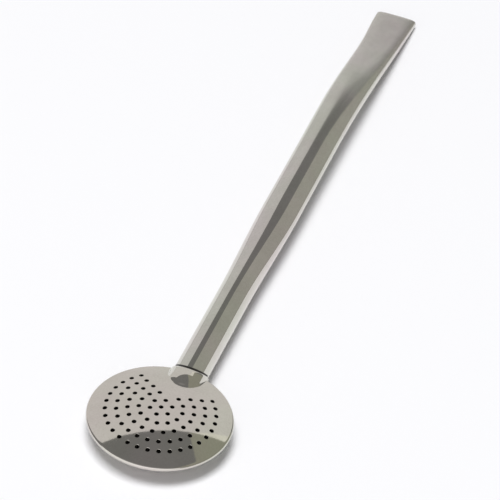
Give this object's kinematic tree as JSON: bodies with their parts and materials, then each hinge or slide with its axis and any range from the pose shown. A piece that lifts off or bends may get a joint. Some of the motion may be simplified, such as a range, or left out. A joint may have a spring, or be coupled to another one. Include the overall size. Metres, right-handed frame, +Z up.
{
  "type": "strainer straw",
  "caption": "Polished steel drinking straw for leaf infusions: a round domed strainer head with fine holes and a rolled rim, and a pull-out stem pressed flat at the mouth.",
  "frame": {"origin": "on the table, under the middle of the part's bounding box, with the part lying on the flat of its bowl and on the lower lip of its mouth", "axes": "+X along the stem from the head to the mouth, +Y across it, +Z up, out of the perforated face"},
  "size_m": [0.2028, 0.034, 0.0098],
  "materials": {
    "head_steel": "polished",
    "stem_steel": "polished"
  },
  "bodies": {
    "head": {"front_shell": "head_steel", "back_shell": "head_steel"},
    "stem": {"stem_tube": "stem_steel"}
  },
  "joints": [
    {"name": "stem_pull", "type": "slide", "parent": "head", "child": "stem", "axis": [0.9998, 0, 0.0219], "range_m": [0, 0.012]}
  ]
}
